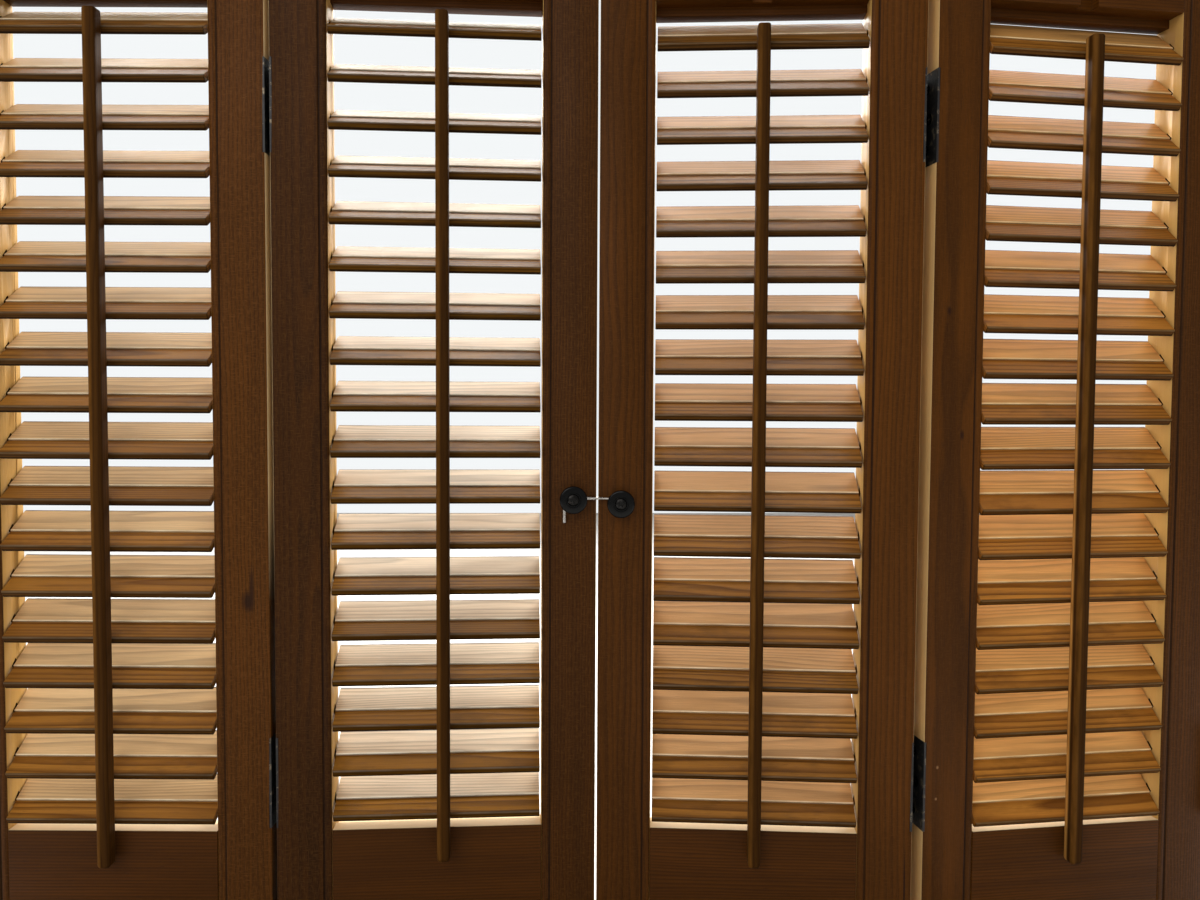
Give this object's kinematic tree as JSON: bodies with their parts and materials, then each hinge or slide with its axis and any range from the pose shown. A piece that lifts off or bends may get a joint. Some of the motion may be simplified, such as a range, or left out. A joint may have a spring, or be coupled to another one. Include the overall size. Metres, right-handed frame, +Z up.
{
  "type": "louvred shutters",
  "caption": "Folding louvred window shutters in a timber surround, with tilting slats moved by upright rods, butt hinges and a wire hook latch.",
  "frame": {"origin": "middle of the four wall screws, in the surround's room-side face", "axes": "+X to the right seen from the room, +Y out towards the window, +Z up"},
  "size_m": [0.7796, 0.0623, 0.6432],
  "materials": {
    "surround_wood": "dark brown stain, satin",
    "leaf_wood": "dark brown stain, satin",
    "louvre_wood": "dark brown stain, worn thin",
    "rod_wood": "dark brown stain, satin",
    "hinge_steel": "black, worn on the edges",
    "latch_black": "gloss black",
    "hook_wire": "bright drawn wire"
  },
  "bodies": {
    "frame": {"surround_frame": "surround_wood", "surround_hinge_leaves": "hinge_steel"},
    "leaf_1": {"leaf_1_frame_with_louvres": "leaf_wood", "leaf_1_tilt_rod": "rod_wood", "leaf_1_hinge_leaves": "hinge_steel"},
    "leaf_2": {"leaf_2_left_stile": "leaf_wood", "leaf_2_right_stile": "leaf_wood", "leaf_2_top_rail": "leaf_wood", "leaf_2_bottom_rail": "leaf_wood", "leaf_2_hinge_leaves": "hinge_steel", "latch_keeper_post": "latch_black"},
    "leaf_3": {"leaf_3_left_stile": "leaf_wood", "leaf_3_right_stile": "leaf_wood", "leaf_3_top_rail": "leaf_wood", "leaf_3_bottom_rail": "leaf_wood", "leaf_3_hinge_leaves": "hinge_steel", "latch_hook_post": "latch_black"},
    "leaf_4": {"leaf_4_frame_with_louvres": "leaf_wood", "leaf_4_tilt_rod": "rod_wood", "leaf_4_hinge_leaves": "hinge_steel"},
    "hook": {"latch_hook": "hook_wire"},
    "leaf_2_blade_01": {"leaf_2_louvre_01": "louvre_wood"},
    "leaf_2_blade_02": {"leaf_2_louvre_02": "louvre_wood"},
    "leaf_2_blade_03": {"leaf_2_louvre_03": "louvre_wood"},
    "leaf_2_blade_04": {"leaf_2_louvre_04": "louvre_wood"},
    "leaf_2_blade_05": {"leaf_2_louvre_05": "louvre_wood"},
    "leaf_2_blade_06": {"leaf_2_louvre_06": "louvre_wood"},
    "leaf_2_blade_07": {"leaf_2_louvre_07": "louvre_wood"},
    "leaf_2_blade_08": {"leaf_2_louvre_08": "louvre_wood"},
    "leaf_2_blade_09": {"leaf_2_louvre_09": "louvre_wood"},
    "leaf_2_blade_10": {"leaf_2_louvre_10": "louvre_wood"},
    "leaf_2_blade_11": {"leaf_2_louvre_11": "louvre_wood"},
    "leaf_2_blade_12": {"leaf_2_louvre_12": "louvre_wood"},
    "leaf_2_blade_13": {"leaf_2_louvre_13": "louvre_wood"},
    "leaf_2_blade_14": {"leaf_2_louvre_14": "louvre_wood"},
    "leaf_2_blade_15": {"leaf_2_louvre_15": "louvre_wood"},
    "leaf_2_blade_16": {"leaf_2_louvre_16": "louvre_wood"},
    "leaf_2_blade_17": {"leaf_2_louvre_17": "louvre_wood"},
    "leaf_2_blade_18": {"leaf_2_louvre_18": "louvre_wood"},
    "leaf_2_rod": {"leaf_2_tilt_rod": "rod_wood"},
    "leaf_3_blade_01": {"leaf_3_louvre_01": "louvre_wood"},
    "leaf_3_blade_02": {"leaf_3_louvre_02": "louvre_wood"},
    "leaf_3_blade_03": {"leaf_3_louvre_03": "louvre_wood"},
    "leaf_3_blade_04": {"leaf_3_louvre_04": "louvre_wood"},
    "leaf_3_blade_05": {"leaf_3_louvre_05": "louvre_wood"},
    "leaf_3_blade_06": {"leaf_3_louvre_06": "louvre_wood"},
    "leaf_3_blade_07": {"leaf_3_louvre_07": "louvre_wood"},
    "leaf_3_blade_08": {"leaf_3_louvre_08": "louvre_wood"},
    "leaf_3_blade_09": {"leaf_3_louvre_09": "louvre_wood"},
    "leaf_3_blade_10": {"leaf_3_louvre_10": "louvre_wood"},
    "leaf_3_blade_11": {"leaf_3_louvre_11": "louvre_wood"},
    "leaf_3_blade_12": {"leaf_3_louvre_12": "louvre_wood"},
    "leaf_3_blade_13": {"leaf_3_louvre_13": "louvre_wood"},
    "leaf_3_blade_14": {"leaf_3_louvre_14": "louvre_wood"},
    "leaf_3_blade_15": {"leaf_3_louvre_15": "louvre_wood"},
    "leaf_3_blade_16": {"leaf_3_louvre_16": "louvre_wood"},
    "leaf_3_blade_17": {"leaf_3_louvre_17": "louvre_wood"},
    "leaf_3_blade_18": {"leaf_3_louvre_18": "louvre_wood"},
    "leaf_3_rod": {"leaf_3_tilt_rod": "rod_wood"}
  },
  "joints": [
    {"name": "left_jamb_hinge", "type": "hinge", "parent": "frame", "child": "leaf_1", "pos_m": [-0.3606, -0.0026, 0], "axis": [0, 0, -1], "range_deg": [0, 97.3]},
    {"name": "left_fold_hinge", "type": "hinge", "parent": "leaf_1", "child": "leaf_2", "pos_m": [-0.18021, 0.01632, 0], "axis": [0, 0, 1], "range_deg": [0, 165.4]},
    {"name": "right_jamb_hinge", "type": "hinge", "parent": "frame", "child": "leaf_4", "pos_m": [0.3606, -0.0026, 0], "axis": [0, 0, 1], "range_deg": [0, 93.65]},
    {"name": "right_fold_hinge", "type": "hinge", "parent": "leaf_4", "child": "leaf_3", "pos_m": [0.17937, 0.0048, 0], "axis": [0, 0, -1], "range_deg": [0, 157.65]},
    {"name": "leaf_2_tilt_01", "type": "hinge", "parent": "leaf_2", "child": "leaf_2_blade_01", "pos_m": [-0.0906, 0.00559, 0.23262], "axis": [0.9995, 0.0332, 0], "range_deg": [-104.8, 17.2]},
    {"name": "leaf_2_tilt_02", "type": "hinge", "parent": "leaf_2", "child": "leaf_2_blade_02", "pos_m": [-0.0906, 0.00559, 0.20722], "axis": [0.9995, 0.0332, 0], "range_deg": [-104.8, 17.2]},
    {"name": "leaf_2_tilt_03", "type": "hinge", "parent": "leaf_2", "child": "leaf_2_blade_03", "pos_m": [-0.0906, 0.00559, 0.18182], "axis": [0.9995, 0.0332, 0], "range_deg": [-104.8, 17.2]},
    {"name": "leaf_2_tilt_04", "type": "hinge", "parent": "leaf_2", "child": "leaf_2_blade_04", "pos_m": [-0.0906, 0.00559, 0.15643], "axis": [0.9995, 0.0332, 0], "range_deg": [-104.8, 17.2]},
    {"name": "leaf_2_tilt_05", "type": "hinge", "parent": "leaf_2", "child": "leaf_2_blade_05", "pos_m": [-0.0906, 0.00559, 0.13103], "axis": [0.9995, 0.0332, 0], "range_deg": [-104.8, 17.2]},
    {"name": "leaf_2_tilt_06", "type": "hinge", "parent": "leaf_2", "child": "leaf_2_blade_06", "pos_m": [-0.0906, 0.00559, 0.10562], "axis": [0.9995, 0.0332, 0], "range_deg": [-104.8, 17.2]},
    {"name": "leaf_2_tilt_07", "type": "hinge", "parent": "leaf_2", "child": "leaf_2_blade_07", "pos_m": [-0.0906, 0.00559, 0.08023], "axis": [0.9995, 0.0332, 0], "range_deg": [-104.8, 17.2]},
    {"name": "leaf_2_tilt_08", "type": "hinge", "parent": "leaf_2", "child": "leaf_2_blade_08", "pos_m": [-0.0906, 0.00559, 0.05482], "axis": [0.9995, 0.0332, 0], "range_deg": [-104.8, 17.2]},
    {"name": "leaf_2_tilt_09", "type": "hinge", "parent": "leaf_2", "child": "leaf_2_blade_09", "pos_m": [-0.0906, 0.00559, 0.02942], "axis": [0.9995, 0.0332, 0], "range_deg": [-104.8, 17.2]},
    {"name": "leaf_2_tilt_10", "type": "hinge", "parent": "leaf_2", "child": "leaf_2_blade_10", "pos_m": [-0.0906, 0.00559, 0.00402], "axis": [0.9995, 0.0332, 0], "range_deg": [-104.8, 17.2]},
    {"name": "leaf_2_tilt_11", "type": "hinge", "parent": "leaf_2", "child": "leaf_2_blade_11", "pos_m": [-0.0906, 0.00559, -0.02138], "axis": [0.9995, 0.0332, 0], "range_deg": [-104.8, 17.2]},
    {"name": "leaf_2_tilt_12", "type": "hinge", "parent": "leaf_2", "child": "leaf_2_blade_12", "pos_m": [-0.0906, 0.00559, -0.04677], "axis": [0.9995, 0.0332, 0], "range_deg": [-104.8, 17.2]},
    {"name": "leaf_2_tilt_13", "type": "hinge", "parent": "leaf_2", "child": "leaf_2_blade_13", "pos_m": [-0.0906, 0.00559, -0.07218], "axis": [0.9995, 0.0332, 0], "range_deg": [-104.8, 17.2]},
    {"name": "leaf_2_tilt_14", "type": "hinge", "parent": "leaf_2", "child": "leaf_2_blade_14", "pos_m": [-0.0906, 0.00559, -0.09757], "axis": [0.9995, 0.0332, 0], "range_deg": [-104.8, 17.2]},
    {"name": "leaf_2_tilt_15", "type": "hinge", "parent": "leaf_2", "child": "leaf_2_blade_15", "pos_m": [-0.0906, 0.00559, -0.12298], "axis": [0.9995, 0.0332, 0], "range_deg": [-104.8, 17.2]},
    {"name": "leaf_2_tilt_16", "type": "hinge", "parent": "leaf_2", "child": "leaf_2_blade_16", "pos_m": [-0.0906, 0.00559, -0.14838], "axis": [0.9995, 0.0332, 0], "range_deg": [-104.8, 17.2]},
    {"name": "leaf_2_tilt_17", "type": "hinge", "parent": "leaf_2", "child": "leaf_2_blade_17", "pos_m": [-0.0906, 0.00559, -0.17378], "axis": [0.9995, 0.0332, 0], "range_deg": [-104.8, 17.2]},
    {"name": "leaf_2_tilt_18", "type": "hinge", "parent": "leaf_2", "child": "leaf_2_blade_18", "pos_m": [-0.0906, 0.00559, -0.19917], "axis": [0.9995, 0.0332, 0], "range_deg": [-104.8, 17.2]},
    {"name": "leaf_2_rod_staple", "type": "hinge", "parent": "leaf_2_blade_10", "child": "leaf_2_rod", "pos_m": [-0.08614, -0.00818, -0.00372], "axis": [0.9995, 0.0332, 0], "range_deg": [-17.2, 104.8]},
    {"name": "leaf_3_tilt_01", "type": "hinge", "parent": "leaf_3", "child": "leaf_3_blade_01", "pos_m": [0.08923, 0.0005, 0.23033], "axis": [0.9945, -0.1045, 0], "range_deg": [-114.4, 7.6]},
    {"name": "leaf_3_tilt_02", "type": "hinge", "parent": "leaf_3", "child": "leaf_3_blade_02", "pos_m": [0.08923, 0.0005, 0.20492], "axis": [0.9945, -0.1045, 0], "range_deg": [-114.4, 7.6]},
    {"name": "leaf_3_tilt_03", "type": "hinge", "parent": "leaf_3", "child": "leaf_3_blade_03", "pos_m": [0.08923, 0.0005, 0.17952], "axis": [0.9945, -0.1045, 0], "range_deg": [-114.4, 7.6]},
    {"name": "leaf_3_tilt_04", "type": "hinge", "parent": "leaf_3", "child": "leaf_3_blade_04", "pos_m": [0.08923, 0.0005, 0.15413], "axis": [0.9945, -0.1045, 0], "range_deg": [-114.4, 7.6]},
    {"name": "leaf_3_tilt_05", "type": "hinge", "parent": "leaf_3", "child": "leaf_3_blade_05", "pos_m": [0.08923, 0.0005, 0.12873], "axis": [0.9945, -0.1045, 0], "range_deg": [-114.4, 7.6]},
    {"name": "leaf_3_tilt_06", "type": "hinge", "parent": "leaf_3", "child": "leaf_3_blade_06", "pos_m": [0.08923, 0.0005, 0.10333], "axis": [0.9945, -0.1045, 0], "range_deg": [-114.4, 7.6]},
    {"name": "leaf_3_tilt_07", "type": "hinge", "parent": "leaf_3", "child": "leaf_3_blade_07", "pos_m": [0.08923, 0.0005, 0.07792], "axis": [0.9945, -0.1045, 0], "range_deg": [-114.4, 7.6]},
    {"name": "leaf_3_tilt_08", "type": "hinge", "parent": "leaf_3", "child": "leaf_3_blade_08", "pos_m": [0.08923, 0.0005, 0.05253], "axis": [0.9945, -0.1045, 0], "range_deg": [-114.4, 7.6]},
    {"name": "leaf_3_tilt_09", "type": "hinge", "parent": "leaf_3", "child": "leaf_3_blade_09", "pos_m": [0.08923, 0.0005, 0.02712], "axis": [0.9945, -0.1045, 0], "range_deg": [-114.4, 7.6]},
    {"name": "leaf_3_tilt_10", "type": "hinge", "parent": "leaf_3", "child": "leaf_3_blade_10", "pos_m": [0.08923, 0.0005, 0.00172], "axis": [0.9945, -0.1045, 0], "range_deg": [-114.4, 7.6]},
    {"name": "leaf_3_tilt_11", "type": "hinge", "parent": "leaf_3", "child": "leaf_3_blade_11", "pos_m": [0.08923, 0.0005, -0.02368], "axis": [0.9945, -0.1045, 0], "range_deg": [-114.4, 7.6]},
    {"name": "leaf_3_tilt_12", "type": "hinge", "parent": "leaf_3", "child": "leaf_3_blade_12", "pos_m": [0.08923, 0.0005, -0.04908], "axis": [0.9945, -0.1045, 0], "range_deg": [-114.4, 7.6]},
    {"name": "leaf_3_tilt_13", "type": "hinge", "parent": "leaf_3", "child": "leaf_3_blade_13", "pos_m": [0.08923, 0.0005, -0.07447], "axis": [0.9945, -0.1045, 0], "range_deg": [-114.4, 7.6]},
    {"name": "leaf_3_tilt_14", "type": "hinge", "parent": "leaf_3", "child": "leaf_3_blade_14", "pos_m": [0.08923, 0.0005, -0.09988], "axis": [0.9945, -0.1045, 0], "range_deg": [-114.4, 7.6]},
    {"name": "leaf_3_tilt_15", "type": "hinge", "parent": "leaf_3", "child": "leaf_3_blade_15", "pos_m": [0.08923, 0.0005, -0.12527], "axis": [0.9945, -0.1045, 0], "range_deg": [-114.4, 7.6]},
    {"name": "leaf_3_tilt_16", "type": "hinge", "parent": "leaf_3", "child": "leaf_3_blade_16", "pos_m": [0.08923, 0.0005, -0.15068], "axis": [0.9945, -0.1045, 0], "range_deg": [-114.4, 7.6]},
    {"name": "leaf_3_tilt_17", "type": "hinge", "parent": "leaf_3", "child": "leaf_3_blade_17", "pos_m": [0.08923, 0.0005, -0.17608], "axis": [0.9945, -0.1045, 0], "range_deg": [-114.4, 7.6]},
    {"name": "leaf_3_tilt_18", "type": "hinge", "parent": "leaf_3", "child": "leaf_3_blade_18", "pos_m": [0.08923, 0.0005, -0.20147], "axis": [0.9945, -0.1045, 0], "range_deg": [-114.4, 7.6]},
    {"name": "leaf_3_rod_staple", "type": "hinge", "parent": "leaf_3_blade_10", "child": "leaf_3_rod", "pos_m": [0.08793, -0.01185, -0.00823], "axis": [0.9945, -0.1045, 0], "range_deg": [-7.6, 114.4]},
    {"name": "latch_hook_turn", "type": "hinge", "parent": "leaf_3", "child": "hook", "pos_m": [0.01257, -0.00462, -0.03018], "axis": [0.1045, 0.9945, 0], "range_deg": [0, 250]}
  ],
  "couplings": [
    {"joint": "leaf_2_tilt_01", "follows": "leaf_2_tilt_10", "ratio": 1},
    {"joint": "leaf_2_tilt_02", "follows": "leaf_2_tilt_10", "ratio": 1},
    {"joint": "leaf_2_tilt_03", "follows": "leaf_2_tilt_10", "ratio": 1},
    {"joint": "leaf_2_tilt_04", "follows": "leaf_2_tilt_10", "ratio": 1},
    {"joint": "leaf_2_tilt_05", "follows": "leaf_2_tilt_10", "ratio": 1},
    {"joint": "leaf_2_tilt_06", "follows": "leaf_2_tilt_10", "ratio": 1},
    {"joint": "leaf_2_tilt_07", "follows": "leaf_2_tilt_10", "ratio": 1},
    {"joint": "leaf_2_tilt_08", "follows": "leaf_2_tilt_10", "ratio": 1},
    {"joint": "leaf_2_tilt_09", "follows": "leaf_2_tilt_10", "ratio": 1},
    {"joint": "leaf_2_tilt_11", "follows": "leaf_2_tilt_10", "ratio": 1},
    {"joint": "leaf_2_tilt_12", "follows": "leaf_2_tilt_10", "ratio": 1},
    {"joint": "leaf_2_tilt_13", "follows": "leaf_2_tilt_10", "ratio": 1},
    {"joint": "leaf_2_tilt_14", "follows": "leaf_2_tilt_10", "ratio": 1},
    {"joint": "leaf_2_tilt_15", "follows": "leaf_2_tilt_10", "ratio": 1},
    {"joint": "leaf_2_tilt_16", "follows": "leaf_2_tilt_10", "ratio": 1},
    {"joint": "leaf_2_tilt_17", "follows": "leaf_2_tilt_10", "ratio": 1},
    {"joint": "leaf_2_tilt_18", "follows": "leaf_2_tilt_10", "ratio": 1},
    {"joint": "leaf_2_rod_staple", "follows": "leaf_2_tilt_10", "ratio": -1},
    {"joint": "leaf_3_tilt_01", "follows": "leaf_3_tilt_10", "ratio": 1},
    {"joint": "leaf_3_tilt_02", "follows": "leaf_3_tilt_10", "ratio": 1},
    {"joint": "leaf_3_tilt_03", "follows": "leaf_3_tilt_10", "ratio": 1},
    {"joint": "leaf_3_tilt_04", "follows": "leaf_3_tilt_10", "ratio": 1},
    {"joint": "leaf_3_tilt_05", "follows": "leaf_3_tilt_10", "ratio": 1},
    {"joint": "leaf_3_tilt_06", "follows": "leaf_3_tilt_10", "ratio": 1},
    {"joint": "leaf_3_tilt_07", "follows": "leaf_3_tilt_10", "ratio": 1},
    {"joint": "leaf_3_tilt_08", "follows": "leaf_3_tilt_10", "ratio": 1},
    {"joint": "leaf_3_tilt_09", "follows": "leaf_3_tilt_10", "ratio": 1},
    {"joint": "leaf_3_tilt_11", "follows": "leaf_3_tilt_10", "ratio": 1},
    {"joint": "leaf_3_tilt_12", "follows": "leaf_3_tilt_10", "ratio": 1},
    {"joint": "leaf_3_tilt_13", "follows": "leaf_3_tilt_10", "ratio": 1},
    {"joint": "leaf_3_tilt_14", "follows": "leaf_3_tilt_10", "ratio": 1},
    {"joint": "leaf_3_tilt_15", "follows": "leaf_3_tilt_10", "ratio": 1},
    {"joint": "leaf_3_tilt_16", "follows": "leaf_3_tilt_10", "ratio": 1},
    {"joint": "leaf_3_tilt_17", "follows": "leaf_3_tilt_10", "ratio": 1},
    {"joint": "leaf_3_tilt_18", "follows": "leaf_3_tilt_10", "ratio": 1},
    {"joint": "leaf_3_rod_staple", "follows": "leaf_3_tilt_10", "ratio": -1}
  ]
}
